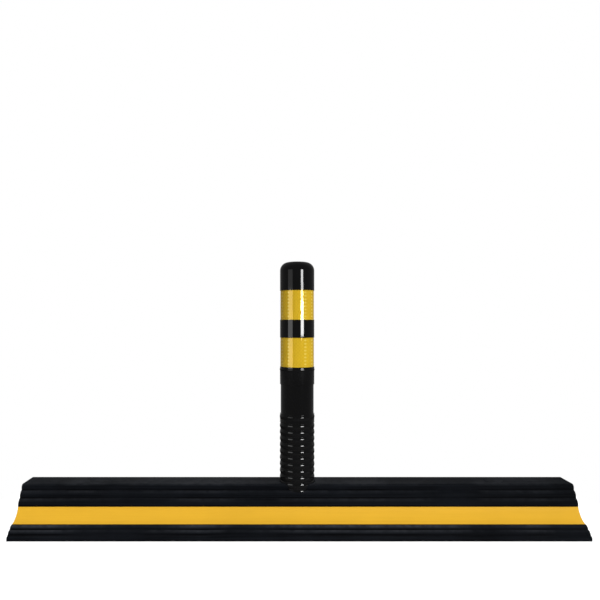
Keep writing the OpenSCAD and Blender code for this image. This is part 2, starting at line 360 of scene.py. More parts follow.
class Cove:
    """The hollow between the lips on the rear side, an arc about a centre out in the open."""

    low = Vector(from_foot(LOW_LIP))
    high = Vector(from_foot(HIGH_LIP))
    half_chord = (high - low).length / 2
    outward = Vector(((high - low).y, -(high - low).x)).normalized()
    depth = math.sqrt(COVE_RADIUS**2 - half_chord**2)
    centre = (low + high) / 2 + outward * depth
    middle = math.atan2(-outward.y, -outward.x)
    half_angle = math.asin(half_chord / COVE_RADIUS) - STRIPE_MARGIN / COVE_RADIUS

    @classmethod
    def point(cls, radius, angle):
        turn = cls.middle + angle
        return tuple(cls.centre + radius * Vector((math.cos(turn), math.sin(turn))))

    @classmethod
    def mouth_radius(cls, angle):
        """Distance from the centre to the straight line between the lips."""
        return cls.depth / math.cos(angle)


def strip_outline(bm):
    """Half the strip's section, mirrored to make the whole."""
    pen = side_pen(bm, -HALF_LENGTH)
    seat_radius = COVE_RADIUS + STRIPE_THICKNESS + STRIPE_GAP
    seat_angle = Cove.half_angle
    mouth = Cove.mouth_radius(seat_angle)
    groove = from_foot(FOOT_GROOVE)
    high_lip = from_foot(HIGH_LIP)
    pen.move_to((0, 0)).line_to((HALF_WIDTH, 0), ease=LIP_EASE)
    pen.line_to((HALF_WIDTH, FOOT_HEIGHT - FOOT_ROUND))
    pen.arc_round((HALF_WIDTH - FOOT_ROUND, FOOT_HEIGHT - FOOT_ROUND), math.pi / 2)
    pen.line_to(groove, ease=GROOVE_EASE)
    pen.bead_row(groove, from_foot(LOW_LIP), LOWER_SWELL)
    pen.line_to(Cove.point(mouth, seat_angle), ease=LIP_EASE)
    pen.line_to(Cove.point(seat_radius, seat_angle))
    pen.arc_round(tuple(Cove.centre), -2 * seat_angle, steps=2 * ARC_STEPS)
    pen.line_to(Cove.point(mouth, -seat_angle), ease=LIP_EASE)
    pen.line_to(high_lip, ease=GROOVE_EASE)
    pen.bead_row(high_lip, RIDGE_SIDE, UPPER_SWELL)
    pen.line_to((RIDGE_SIDE[0], STRIP_TOP - RIDGE_ROUND))
    pen.arc_round((RIDGE_SIDE[0] - RIDGE_ROUND, STRIP_TOP - RIDGE_ROUND), math.pi / 2)
    pen.line_to((0, STRIP_TOP))
    pen.ease_corners()
    bmesh.ops.mirror(bm, geom=bm.verts[:] + bm.edges[:], axis="Y", merge_dist=MERGE)


def socket_cutter():
    """The post's hole, wide at the bottom for the flange."""
    bm = bmesh.new()
    flange_radius, flange_top = FLANGE_POCKET
    pen = turning_pen(bm).move_to((0, -PAST)).line_to((flange_radius, -PAST))
    pen.line_to((flange_radius, flange_top)).line_to((SOCKET_RADIUS, flange_top))
    pen.line_to((SOCKET_RADIUS, STRIP_TOP + PAST)).line_to((0, STRIP_TOP + PAST))
    turn_round(bm)
    return finished(bm, "socket_cutter")


def anchor_cutter():
    """Sleeve hole, head recess and the ledge for the cap, with a rounded rim."""
    bm = bmesh.new()
    seat = sleeves_high.z - SLEEVE_FLANGE
    ledge = HEAD_RECESS_RADIUS + CAP_LEDGE
    pen = turning_pen(bm).move_to((0, -PAST)).line_to((SLEEVE_HOLE_RADIUS, -PAST))
    pen.line_to((SLEEVE_HOLE_RADIUS, seat)).line_to((HEAD_RECESS_RADIUS, seat))
    pen.line_to((HEAD_RECESS_RADIUS, CAP_SEAT)).line_to((ledge, CAP_SEAT))
    pen.line_to((ledge, STRIP_TOP - CAP_EASE))
    pen.arc_round((ledge + CAP_EASE, STRIP_TOP - CAP_EASE), -math.pi / 2, steps=CAP_RIM_STEPS)
    pen.line_to((ledge + CAP_EASE, STRIP_TOP + PAST)).line_to((0, STRIP_TOP + PAST))
    turn_round(bm, ANCHOR_STEPS)
    copies_at(bm, ANCHOR_PLACES)
    return finished(bm, "anchor_cutter")


def plate_cutter():
    bm = bmesh.new()
    size = plate_high - plate_low + Vector((2, 2, 0)) * PLATE_CLEARANCE
    middle = (0, 0, (plate_high.z - PAST) / 2)
    block(bm, (size.x, size.y, plate_high.z + PAST), middle)
    return finished(bm, "plate_cutter")


def screw_places():
    inset = Vector(screws_high.xy) - Vector((SCREW_HEAD[0], SCREW_HEAD[0]))
    return [(sx * inset.x, sy * inset.y, 0) for sx in (-1, 1) for sy in (-1, 1)]


def insert_cutter():
    """Blind holes for the inserts, each with room for a screw's tip."""
    bm = bmesh.new()
    pen = turning_pen(bm).move_to((0, 0)).line_to((INSERT_HOLE[0], 0)).line_to(INSERT_HOLE)
    pen.line_to((SCREW_TIP_HOLE[0], INSERT_HOLE[1])).line_to(SCREW_TIP_HOLE)
    pen.line_to((0, SCREW_TIP_HOLE[1]))
    turn_round(bm, INSERT_STEPS)
    copies_at(bm, screw_places())
    return finished(bm, "insert_cutter")


def pocket_cutter():
    """The cored pockets under the strip, with moulded corners, as one set of prisms."""
    bm = bmesh.new()
    below = -2 * POCKET_ROUND
    for start, end, count in POCKET_ROWS:
        pitch = (end - start + POCKET_WEB) / count
        for i in range(count):
            cell = bmesh.new()
            pen = side_pen(cell, start + i * pitch)
            pen.move_to((POCKET_SIDE[0][0], below)).line_to((POCKET_SIDE[1][0], below))
            for point in POCKET_SIDE[2:]:
                pen.line_to(point)
            pen.close()
            run_along(cell, pitch - POCKET_WEB)
            ease_edges(cell, POCKET_ROUND, EASE_STEPS, least_angle=15)
            made = bpy.data.meshes.new("pocket")
            cell.to_mesh(made)
            cell.free()
            bm.from_mesh(made)
            bpy.data.meshes.remove(made)
    for axis in "XY":
        bmesh.ops.mirror(bm, geom=whole(bm), axis=axis, merge_dist=-1)
    face_out(bm)
    return finished(bm, "pocket_cutter")


def rubber_strip():
    bm = bmesh.new()
    strip_outline(bm)
    run_along(bm, 2 * HALF_LENGTH)
    for x in [side * place for side in (-1, 1) for place in DIVIDED_AT]:
        bmesh.ops.bisect_plane(bm, geom=whole(bm), plane_co=(x, 0, 0), plane_no=(1, 0, 0))
    piece = finished(bm, "rubber_strip")
    cut_away(piece, [socket_cutter(), plate_cutter(), insert_cutter(), anchor_cutter(), pocket_cutter()])
    return piece


def yellow_stripe(name, side):
    """A curved strip that lines one cove, with eased edges."""
    bm = bmesh.new()
    reach = Cove.half_angle - STRIPE_GAP / COVE_RADIUS
    pen = side_pen(bm, -HALF_LENGTH).move_to(Cove.point(COVE_RADIUS, reach))
    pen.line_to(Cove.point(COVE_RADIUS + STRIPE_THICKNESS, reach))
    pen.arc_round(tuple(Cove.centre), -2 * reach, steps=2 * ARC_STEPS)
    pen.line_to(Cove.point(COVE_RADIUS, -reach))
    pen.arc_round(tuple(Cove.centre), 2 * reach, steps=2 * ARC_STEPS)
    merge_and_face_out(bm)
    run_along(bm, 2 * HALF_LENGTH)
    ease_edges(bm, STRIPE_EASE, EASE_STEPS, least_angle=40)
    if side < 0:
        bmesh.ops.scale(bm, verts=bm.verts[:], vec=(1, -1, 1))
        face_out(bm)
    return finished(bm, name)


# Post

def rib_reach():
    """Angle from a rib's crest to where its round meets the groove, and the height that takes."""
    angle = math.acos((GROOVE_RADIUS - RIB_RADIUS + RIB_ROUND) / RIB_ROUND)
    return angle, RIB_ROUND * math.sin(angle)


def post_foot():
    """The post's lower end: flange, plug and the ribs that sit in the strip."""
    bm = bmesh.new()
    angle, reach = rib_reach()
    flange_radius = root_high.x
    flange_top = root_low.z + FLANGE_THICKNESS
    plug_top = BEND_HEIGHTS[0] - BURIED_RIBS * RIB_PITCH
    last_crest = BEND_HEIGHTS[0] - RIB_PITCH / 2
    first_crest = last_crest - RIB_PITCH
    rib_middle = RIB_RADIUS - RIB_ROUND
    pen = turning_pen(bm).move_to((BORE_RADIUS, root_low.z))
    pen.line_to((flange_radius, root_low.z), ease=FLANGE_EASE)
    pen.line_to((flange_radius, flange_top), ease=FLANGE_EASE)
    pen.line_to((RIB_RADIUS, flange_top), ease=FLANGE_EASE)
    pen.line_to((RIB_RADIUS, plug_top), ease=RIB_FILLET)
    pen.line_to((GROOVE_RADIUS, plug_top), ease=RECESS_EASE)
    pen.line_to((GROOVE_RADIUS, first_crest - reach), ease=RIB_FILLET)
    pen.arc_round((rib_middle, first_crest), 2 * angle, steps=2 * ARC_STEPS, ease=RIB_FILLET)
    pen.line_to((GROOVE_RADIUS, last_crest - reach), ease=RIB_FILLET)
    pen.arc_round((rib_middle, last_crest), angle)
    pen.line_to((BORE_RADIUS, last_crest)).close()
    pen.ease_corners()
    turn_round(bm)
    return finished(bm, "post_foot")


def bend_web(number, height):
    """One bend of the ribbed section, from the middle of a rib to the middle of the next."""
    bm = bmesh.new()
    angle, reach = rib_reach()
    low = height - RIB_PITCH / 2
    high = height + RIB_PITCH / 2
    pen = turning_pen(bm).move_to((RIB_RADIUS, low))
    pen.arc_round((RIB_RADIUS - RIB_ROUND, low), angle, ease=RIB_FILLET)
    if number == len(BEND_HEIGHTS):
        pen.line_to((GROOVE_RADIUS, height), ease=RECESS_EASE)
        pen.line_to((shaft_high.x, height), ease=RECESS_EASE)
        pen.line_to((shaft_high.x, high))
    else:
        pen.line_to((GROOVE_RADIUS, high - reach), ease=RIB_FILLET)
        pen.arc_round((RIB_RADIUS - RIB_ROUND, high), angle)
    pen.line_to((BORE_RADIUS, high)).line_to((BORE_RADIUS, low)).close()
    pen.ease_corners()
    tall = [e for e in bm.edges if abs(e.verts[0].co.z - e.verts[1].co.z) > WEB_LONG_EDGE]
    bmesh.ops.subdivide_edges(bm, edges=tall, cuts=WEB_CUTS)
    turn_round(bm)
    return finished(bm, f"bend_web_{number}")


def crowned_top(pen, radius, top, rounding):
    """Runs from the side of a round post to its axis: a rounded edge, then a shallow crown."""
    lift = math.sqrt((CROWN_RADIUS - rounding)**2 - (radius - rounding)**2)
    centre = (radius - rounding, top - CROWN_RADIUS + lift)
    angle = math.atan2(lift, radius - rounding)
    pen.line_to((radius, centre[1])).arc_round(centre, angle, steps=2 * ARC_STEPS)
    pen.arc_round((0, top - CROWN_RADIUS), math.pi / 2 - angle)


def marker_post():
    """The domed tube of the post, with three band recesses."""
    bm = bmesh.new()
    bottom = shaft_low.z + RIB_PITCH / 2
    radius = shaft_high.x
    top = shaft_high.z
    pen = turning_pen(bm).move_to((BORE_RADIUS, bottom)).line_to((radius, bottom))
    for start in RECESS_STARTS:
        end = start + RECESS_HEIGHT
        if start != RECESS_STARTS[-1]:
            rim_low = (radius, start - RIM_DROP - RIM_HEIGHT / 2)
            rim_high = (radius, start - RIM_DROP + RIM_HEIGHT / 2)
            pen.line_to(rim_low).bead_to(rim_low, rim_high, RIM_SWELL)
        for corner in ((radius, start), (RECESS_RADIUS, start), (RECESS_RADIUS, end), (radius, end)):
            pen.line_to(corner, ease=RECESS_EASE)
    crowned_top(pen, radius, top, DOME_ROUND)
    inside = turning_pen(bm).move_to((BORE_RADIUS, bottom))
    crowned_top(inside, BORE_RADIUS, top - POST_WALL, DOME_ROUND - POST_WALL)
    pen.ease_corners()
    turn_round(bm)
    return finished(bm, "marker_post")


def film_band(name, node):
    """A thin sleeve of reflective film in a recess of the post."""
    bm = bmesh.new()
    low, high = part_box(node)
    inner = RECESS_RADIUS + FILM_GAP
    pen = turning_pen(bm).move_to((inner, low.z)).line_to((high.x, low.z), ease=FILM_EASE)
    pen.line_to((high.x, high.z), ease=FILM_EASE).line_to((inner, high.z)).close()
    pen.ease_corners()
    turn_round(bm)
    return finished(bm, name)


# Hardware and caps

def anchor_bushes():
    """Steel sleeves with a flange, for the road anchors."""
    bm = bmesh.new()
    top = sleeves_high.z
    seat = top - SLEEVE_FLANGE
    flange_radius = sleeves_high.x - ANCHOR_X
    pen = turning_pen(bm).move_to((ANCHOR_HOLE_RADIUS, 0))
    for corner in ((SLEEVE_RADIUS, 0), (SLEEVE_RADIUS, seat), (flange_radius, seat), (flange_radius, top)):
        pen.line_to(corner, ease=HARDWARE_EASE)
    pen.line_to((ANCHOR_HOLE_RADIUS, top), ease=2 * HARDWARE_EASE).close()
    pen.ease_corners()
    turn_round(bm, ANCHOR_STEPS)
    copies_at(bm, ANCHOR_PLACES)
    return finished(bm, "anchor_bushes")


def anchor_lids():
    """Push-in rubber caps over the anchors, each with a spigot below."""
    bm = bmesh.new()
    outer = caps_high.x - ANCHOR_X
    spigot = HEAD_RECESS_RADIUS - CAP_GAP
    pen = turning_pen(bm).move_to((0, CAP_SEAT)).line_to((spigot - CAP_WALL, CAP_SEAT))
    pen.line_to((spigot - CAP_WALL, caps_low.z), ease=CAP_EASE)
    pen.line_to((spigot, caps_low.z), ease=2 * CAP_EASE)
    pen.line_to((spigot, CAP_SEAT)).line_to((outer, CAP_SEAT), ease=CAP_EASE)
    pen.line_to((outer, caps_high.z), ease=CAP_EASE).line_to((0, caps_high.z))
    pen.ease_corners()
    turn_round(bm, ANCHOR_STEPS)
    copies_at(bm, ANCHOR_PLACES)
    return finished(bm, "anchor_lids")


def countersunk_outline(pen, gap, bottom, top):
    """Half a section of a screw with its head down, wider all round by a gap."""
    head_radius, head_height = SCREW_HEAD
    shank = SCREW_RADIUS + gap
    pen.move_to((0, bottom)).line_to((head_radius + gap, bottom)).line_to((shank, bottom + head_height))
    pen.line_to((shank, top - HARDWARE_EASE)).line_to((shank - HARDWARE_EASE, top)).line_to((0, top))


def holding_plate():
    bm = bmesh.new()
    size = plate_high - plate_low
    block(bm, size, (plate_low + plate_high) / 2)
    upright = [e for e in bm.edges if abs(e.verts[0].co.z - e.verts[1].co.z) > size.z / 2]
    round_off(bm, upright, "EDGES", PLATE_CORNER, CORNER_STEPS)
    ease_edges(bm, HARDWARE_EASE, HARDWARE_EASE_STEPS, least_angle=60)
    piece = finished(bm, "holding_plate")
    holes = bmesh.new()
    countersunk_outline(turning_pen(holes), SCREW_GAP, plate_low.z - JUST_PAST, plate_high.z + PAST)
    turn_round(holes, SCREW_STEPS)
    copies_at(holes, screw_places())
    cut_away(piece, [finished(holes, "countersink_cutter")])
    return piece


def holding_screws():
    bm = bmesh.new()
    countersunk_outline(turning_pen(bm), 0.0, screws_low.z, screws_high.z)
    turn_round(bm, SCREW_STEPS)
    copies_at(bm, screw_places())
    piece = finished(bm, "holding_screws")
    sockets = bmesh.new()
    bmesh.ops.create_cone(
        sockets, cap_ends=True, segments=6, radius1=HEX_RADIUS, radius2=HEX_RADIUS, depth=2 * HEX_DEPTH
    )
    bmesh.ops.translate(sockets, verts=sockets.verts[:], vec=(0, 0, screws_low.z))
    copies_at(sockets, screw_places())
    cut_away(piece, [finished(sockets, "hex_cutter")])
    return piece


# Shared surface effects

def add_node(tree, kind, inputs=None, **settings):
    """Adds a node, with values or links for its inputs."""
    node = tree.nodes.new(kind)
    for name, value in settings.items():
        setattr(node, name, value)
    for socket, value in (inputs or {}).items():
        if isinstance(value, bpy.types.NodeSocket):
            tree.links.new(value, node.inputs[socket])
        else:
            node.inputs[socket].default_value = value
    return node


def math_node(tree, operation, *values):
    return add_node(tree, "ShaderNodeMath", dict(enumerate(values)), operation=operation).outputs[0]


def vector_node(tree, operation, first, second):
    inputs = {0: first, 1: second}
    return add_node(tree, "ShaderNodeVectorMath", inputs, operation=operation).outputs


def parts_of(tree, vector):
    """The X, Y and Z of a vector."""
    return add_node(tree, "ShaderNodeSeparateXYZ", {0: vector}).outputs


def joined(tree, **parts):
    """A vector made of its X, Y and Z, of which those left out are 0."""
    return add_node(tree, "ShaderNodeCombineXYZ", parts).outputs[0]


def between(tree, value, low, high, to_low=0.0, to_high=1.0):
    """Maps a value from one span to another, and stops at its ends."""
    spans = {"Value": value, "From Min": low, "From Max": high, "To Min": to_low, "To Max": to_high}
    return add_node(tree, "ShaderNodeMapRange", spans).outputs["Result"]


def blend_colours(tree, factor, first, second):
    mixed = add_node(tree, "ShaderNodeMix", {0: factor, 6: first, 7: second}, data_type="RGBA")
    return mixed.outputs[2]


def noise(tree, vector, size, detail, distortion=0.0):
    """Noise whose features are about as large as a size in metres."""
    scale = math_node(tree, "DIVIDE", 1.0, size)
    inputs = {"Vector": vector, "Scale": scale, "Detail": detail, "Distortion": distortion}
    return add_node(tree, "ShaderNodeTexNoise", inputs).outputs["Fac"]


def effect(name, inputs, output, output_kind):
    """Starts a node group. Returns its tree, a look-up of its inputs and a function that ends it."""
    tree = bpy.data.node_groups.new(name, "ShaderNodeTree")
    for socket, kind, value in inputs:
        made = tree.interface.new_socket(socket, in_out="INPUT", socket_type=f"NodeSocket{kind}")
        if value is not None:
            made.default_value = value
    tree.interface.new_socket(output, in_out="OUTPUT", socket_type=f"NodeSocket{output_kind}")
    entry = add_node(tree, "NodeGroupInput").outputs

    def end(value):
        add_node(tree, "NodeGroupOutput", {output: value})
        return tree

    return tree, entry, end


# Grain: size and height of the coarse part, for each of the fine part
COARSE_SIZE = 7.0
COARSE_HEIGHT = 1.6


def make_moulded_grain():
    """Fine unevenness that a mould leaves."""
    inputs = [("Vector", "Vector", None), ("Size", "Float", 0.001)]
    tree, entry, end = effect("moulded_grain", inputs, "Height", "Float")
    coarse_size = math_node(tree, "MULTIPLY", entry["Size"], COARSE_SIZE)
    coarse = noise(tree, entry["Vector"], coarse_size, detail=2.0)
    fine = noise(tree, entry["Vector"], entry["Size"], detail=3.0)
    return end(math_node(tree, "MULTIPLY_ADD", coarse, COARSE_HEIGHT, fine))


# Span of noise from the darkest to the lightest cloud
CLOUD_SPAN = (0.3, 0.7)


def make_cloudy_tone():
    """A colour that gets lighter and darker in soft clouds."""
    inputs = [("Vector", "Vector", None), ("Colour", "Color", (0.5, 0.5, 0.5, 1)),
              ("Size", "Float", 0.05), ("Spread", "Float", 0.1)]
    tree, entry, end = effect("cloudy_tone", inputs, "Colour", "Color")
    clouds = noise(tree, entry["Vector"], entry["Size"], detail=4.0)
    darkest = math_node(tree, "SUBTRACT", 1.0, entry["Spread"])
    lightest = math_node(tree, "ADD", 1.0, entry["Spread"])
    tone = between(tree, clouds, *CLOUD_SPAN, darkest, lightest)
    values = {0: entry["Colour"], "Scale": tone}
    return end(add_node(tree, "ShaderNodeVectorMath", values, operation="SCALE").outputs["Vector"])


# Span of noise from between the streaks to their middle
STREAK_SPAN = (0.42, 0.66)


def make_drawn_streaks():
    """Long faint streaks along the strip."""
    inputs = [("Vector", "Vector", None), ("Length", "Float", 0.2), ("Width", "Float", 0.003)]
    tree, entry, end = effect("drawn_streaks", inputs, "Mask", "Float")
    spans = joined(tree, X=entry["Length"], Y=entry["Width"], Z=entry["Width"])
    stretched = vector_node(tree, "DIVIDE", entry["Vector"], spans)["Vector"]
    values = {"Vector": stretched, "Scale": 1.0, "Detail": 3.0}
    lines = add_node(tree, "ShaderNodeTexNoise", values).outputs["Fac"]
    return end(between(tree, lines, *STREAK_SPAN))


# Scuffs: width of a hairline, in noise. Patches: size for each size of a scuff, and the noise
# where they begin without cover, how far full cover moves that and how soft their edge is.
HAIRLINE = 0.02
PATCH_SIZE = 4.0
PATCH_START = 0.8
PATCH_COVER = 0.5
PATCH_EDGE = 0.1


def make_fine_scuffs():
    """Hairline scuffs, gathered in patches."""
    inputs = [("Vector", "Vector", None), ("Size", "Float", 0.01), ("Cover", "Float", 0.4)]
    tree, entry, end = effect("fine_scuffs", inputs, "Mask", "Float")
    wander = noise(tree, entry["Vector"], entry["Size"], detail=2.0, distortion=1.5)
    off_line = math_node(tree, "ABSOLUTE", math_node(tree, "SUBTRACT", wander, 0.5))
    hairlines = between(tree, off_line, 0.0, HAIRLINE, 1.0, 0.0)
    patch_size = math_node(tree, "MULTIPLY", entry["Size"], PATCH_SIZE)
    patches = noise(tree, entry["Vector"], patch_size, detail=2.0)
    covered = math_node(tree, "MULTIPLY", entry["Cover"], PATCH_COVER)
    least = math_node(tree, "SUBTRACT", PATCH_START, covered)
    most = math_node(tree, "ADD", least, PATCH_EDGE)
    return end(math_node(tree, "MULTIPLY", hairlines, between(tree, patches, least, most)))


# Dust, and on the strip painted top light: how far a surface has to face up, and noise from the thinnest dust to
# the thickest
LYING_SPAN = (0.45, 1.0)
SPECK_SPAN = (0.3, 0.75)
THINNEST_DUST = 0.35


def make_upward_dust_and_light():
    """Dust that lies where a surface faces up. On the strip the same mask also paints light on faces that look up.
    """
    inputs = [("Vector", "Vector", None), ("Normal", "Vector", None),
              ("Size", "Float", 0.02), ("Amount", "Float", 0.3)]
    tree, entry, end = effect("settled_dust", inputs, "Mask", "Float")
    lying = between(tree, parts_of(tree, entry["Normal"])["Z"], *LYING_SPAN)
    specks = noise(tree, entry["Vector"], entry["Size"], detail=6.0)
    patchy = math_node(tree, "MULTIPLY", lying, between(tree, specks, *SPECK_SPAN, THINNEST_DUST, 1.0))
    return end(math_node(tree, "MULTIPLY", patchy, entry["Amount"]))


def groove_places():
    """Where the strip's section has grooves between its beads, on the rear side."""
    rows = ((from_foot(FOOT_GROOVE), from_foot(LOW_LIP)), (from_foot(HIGH_LIP), RIDGE_SIDE))
    return [along_line(start, end, i / BEADS) for start, end in rows for i in range(BEADS + 1)]


def make_painted_groove_shade():
    """A mask along the lines where two beads meet, by which the strip gets painted shade in its grooves."""
    inputs = [("Vector", "Vector", None), ("Width", "Float", 0.002)]
    tree, entry, end = effect("strip_grooves", inputs, "Mask", "Float")
    place = parts_of(tree, entry["Vector"])
    section = joined(tree, Y=math_node(tree, "ABSOLUTE", place["Y"]), Z=place["Z"])
    nearest = 1.0
    for across, up in groove_places():
        away = vector_node(tree, "DISTANCE", section, (0, across, up))["Value"]
        nearest = math_node(tree, "MINIMUM", nearest, away)
    return end(between(tree, nearest, 0.0, entry["Width"], 1.0, 0.0))


EFFECTS = {
    "grain": make_moulded_grain(),
    "clouds": make_cloudy_tone(),
    "streaks": make_drawn_streaks(),
    "scuffs": make_fine_scuffs(),
    "dust": make_upward_dust_and_light(),
    "grooves": make_painted_groove_shade(),
}


# Finishes

class Finish:
    """A material with one shader, and the places on a piece that its effects read."""

    def __init__(self, name, **constants):
        self.material = bpy.data.materials.new(name)
        self.material.use_nodes = True
        self.tree = self.material.node_tree
        self.shader = self.tree.nodes["Principled BSDF"]
        places = add_node(self.tree, "ShaderNodeTexCoord").outputs
        self.place = places["Object"]
        self.normal = places["Normal"]
        for socket, value in constants.items():
            self.shader.inputs[socket.replace("_", " ")].default_value = value

    def use(self, name, **inputs):
        """Places a shared effect with its own values, and returns what it puts out."""
        inputs["Vector"] = self.place
        return add_node(self.tree, "ShaderNodeGroup", inputs, node_tree=EFFECTS[name]).outputs[0]

    def feed(self, socket, value):
        self.tree.links.new(value, self.shader.inputs[socket])

    def roughen(self, mask, least, most):
        """Sets the roughness by a mask, from where it is 0 to where it is 1."""
        self.feed("Roughness", between(self.tree, mask, 0.0, 1.0, least, most))

    def bump(self, height, distance):
        """Raises the surface by a distance in metres where the height is 1."""
        inputs = {"Height": height, "Distance": distance, "Strength": 1.0}
        self.feed("Normal", add_node(self.tree, "ShaderNodeBump", inputs).outputs["Normal"])


RUBBER_BLACK = (0.0034, 0.0041, 0.0056, 1)
RUBBER_BLOOM = (0.009, 0.0103, 0.0132, 1)
# Dust colour, which also serves as painted sheen and top light
RUBBER_DUST_AND_SHEEN = (0.055, 0.059, 0.068, 1)
# Painted shade that darkens the grooves between the strip's beads
RUBBER_GROOVE_SHADE = (0.001, 0.001, 0.0012, 1)
BLOOM_SHARE = 0.45

# Dust with painted top light at the strip's foot and just under its stripe, where that on its top is 1.
# Under the stripe it is mostly painted light on the lip.
FOOT_DUST_AND_LIGHT = 0.2
LIP_DUST_AND_LIGHT = 3.1

# Long patches with more dust and painted top light, and darker painted shade in the grooves: their size, the noise
# from outside to inside, the share of dust and painted light outside, and how far the noise is moved
LONG_PATCH_SIZE = 0.16
LONG_PATCH_SPAN = (0.43, 0.58)
LONG_PATCH_LEAST = 0.2
LONG_PATCH_SHIFT = (4.2, 1.3, 1.1)


def strip_rubber_finish():
    """Matt black rubber with a bloom in long streaks. Faces that look up get dust with painted light, most just
    under the stripe, and the grooves between beads get painted shade.
    """
    finish = Finish("strip_rubber", Specular_IOR_Level=0.017)
    tree = finish.tree
    black = finish.use("clouds", Colour=RUBBER_BLACK, Size=0.09, Spread=0.5)
    streaks = finish.use("streaks", Length=0.25, Width=0.0035)
    dust = finish.use("dust", Normal=finish.normal, Size=0.012, Amount=0.36)
    shifted = vector_node(tree, "ADD", finish.place, LONG_PATCH_SHIFT)["Vector"]
    long_patch_noise = noise(tree, shifted, LONG_PATCH_SIZE, detail=2.0)
    long_patches = between(tree, long_patch_noise, *LONG_PATCH_SPAN, LONG_PATCH_LEAST, 1.0)
    up = parts_of(tree, finish.place)["Z"]
    below_stripe = between(tree, up, FOOT_HEIGHT, LOW_LIP[1], FOOT_DUST_AND_LIGHT, LIP_DUST_AND_LIGHT)
    less_above = between(tree, up, LOW_LIP[1], HIGH_LIP[1], 0.0, LIP_DUST_AND_LIGHT - 1)
    by_height = math_node(tree, "SUBTRACT", below_stripe, less_above)
    # Dust with painted light on faces that look up: the top's sheen and the lit lip under the stripe
    dust_and_painted_light = math_node(tree, "MULTIPLY", math_node(tree, "MULTIPLY", dust, long_patches), by_height)
    bloom = blend_colours(tree, math_node(tree, "MULTIPLY", streaks, BLOOM_SHARE), black, RUBBER_BLOOM)
    dusty = blend_colours(tree, dust_and_painted_light, bloom, RUBBER_DUST_AND_SHEEN)
    # Painted shade in the grooves between beads, deeper in the long patches
    shadow = math_node(tree, "MULTIPLY", finish.use("grooves", Width=0.0026), long_patches)
    finish.feed("Base Color", blend_colours(tree, shadow, dusty, RUBBER_GROOVE_SHADE))
    finish.roughen(streaks, least=0.56, most=0.72)
    finish.bump(finish.use("grain", Size=0.0012), distance=0.00012)
    return finish.material


FACING_YELLOW = (0.765, 0.428, 0.0275, 1)
FACING_STREAK = (0.70, 0.38, 0.0235, 1)
STREAK_SHARE = 0.25


def stripe_yellow_finish():
    """Smooth yellow facing with faint streaks along it."""
    finish = Finish("stripe_yellow", Specular_IOR_Level=0.1)
    tree = finish.tree
    yellow = finish.use("clouds", Colour=FACING_YELLOW, Size=0.09, Spread=0.035)
    streaks = finish.use("streaks", Length=0.18, Width=0.0025)
    faint = math_node(tree, "MULTIPLY", streaks, STREAK_SHARE)
    finish.feed("Base Color", blend_colours(tree, faint, yellow, FACING_STREAK))
    finish.roughen(streaks, least=0.42, most=0.56)
    finish.bump(finish.use("grain", Size=0.0009), distance=0.00005)
    return finish.material


GLOSS_BLACK = (0.0016, 0.0016, 0.0018, 1)
# Lighter black for the matt faces: painted light in place of the gloss they lose
MATT_BLACK_WITH_PAINTED_LIGHT = (0.0095, 0.0095, 0.01, 1)
SCUFF_GREY = (0.012, 0.012, 0.012, 1)
POST_DUST = (0.05, 0.05, 0.048, 1)
SCUFF_SHARE = 0.3
WORN_ROUGHNESS = (0.15, 0.35)
MATT_ROUGHNESS = 0.5

# How far a rib has to face up to shine, the span over which shine comes in, and the height over
# which the ribs' matt ends
RIB_MATT = 0.05
SHINE_SPAN = (-0.012, -0.002)
RIB_MATT_FADE = 0.001


def post_black_finish():
    """Glossy black moulding with hairline scuffs, matt where it faces down and on most of each rib, where a
    lighter black is painted light.
    """
    finish = Finish("post_black", Specular_IOR_Level=0.015, Coat_Roughness=0.04, Coat_IOR=1.37)
    tree = finish.tree
    black = finish.use("clouds", Colour=GLOSS_BLACK, Size=0.03, Spread=0.3)
    scuffs = finish.use("scuffs", Size=0.014, Cover=0.5)
    dust = finish.use("dust", Normal=finish.normal, Size=0.006, Amount=0.06)
    scuffed = blend_colours(tree, math_node(tree, "MULTIPLY", scuffs, SCUFF_SHARE), black, SCUFF_GREY)
    dusty = blend_colours(tree, dust, scuffed, POST_DUST)
    facing_up = parts_of(tree, finish.normal)["Z"]
    up = parts_of(tree, finish.place)["Z"]
    ribs_end = BEND_HEIGHTS[-1]
    ribbed = between(tree, up, ribs_end, ribs_end + RIB_MATT_FADE, RIB_MATT, 0.0)
    shine = between(tree, math_node(tree, "SUBTRACT", facing_up, ribbed), *SHINE_SPAN)
    finish.feed("Coat Weight", shine)
    # Painted light: where the coat is off, the black is lighter to make up for the gloss and light those faces
    # lose
    finish.feed("Base Color", blend_colours(tree, shine, MATT_BLACK_WITH_PAINTED_LIGHT, dusty))
    matt = between(tree, shine, 0.0, 1.0, MATT_ROUGHNESS, 0.0)
    worn = between(tree, scuffs, 0.0, 1.0, *WORN_ROUGHNESS)
    finish.feed("Roughness", math_node(tree, "ADD", matt, worn))
    finish.bump(finish.use("grain", Size=0.003), distance=0.00001)
    return finish.material


FILM_GOLD = (0.84, 0.53, 0.018, 1)
FILM_CELL = (0.93, 0.59, 0.025, 1)
FILM_SEAM = (1.0, 0.68, 0.05, 1)
FILM_DOT = (1.0, 0.74, 0.11, 1)

# Diamonds: their number round the post, their height, how much they differ, and their seams
BAND_CELLS = 32
BAND_CELL_HEIGHT = 0.0062
CELL_SHARE = 0.3
SEAM_SPAN = (0.03, 0.1)
SEAM_SHARE = 0.4

# Columns of dots: turn of the first seal, turn from seal to seal and from a seal to a column on
# each side, radius of a dot's full part and of its edge, and how much narrower it looks from the front
SEAL_START = math.radians(-3.7)
SEAL_TURN = math.pi / 2
COLUMN_TURN = math.radians(29.7)
DOT_SPAN = (0.0011, 0.0019)
DOT_NARROWING = 0.6


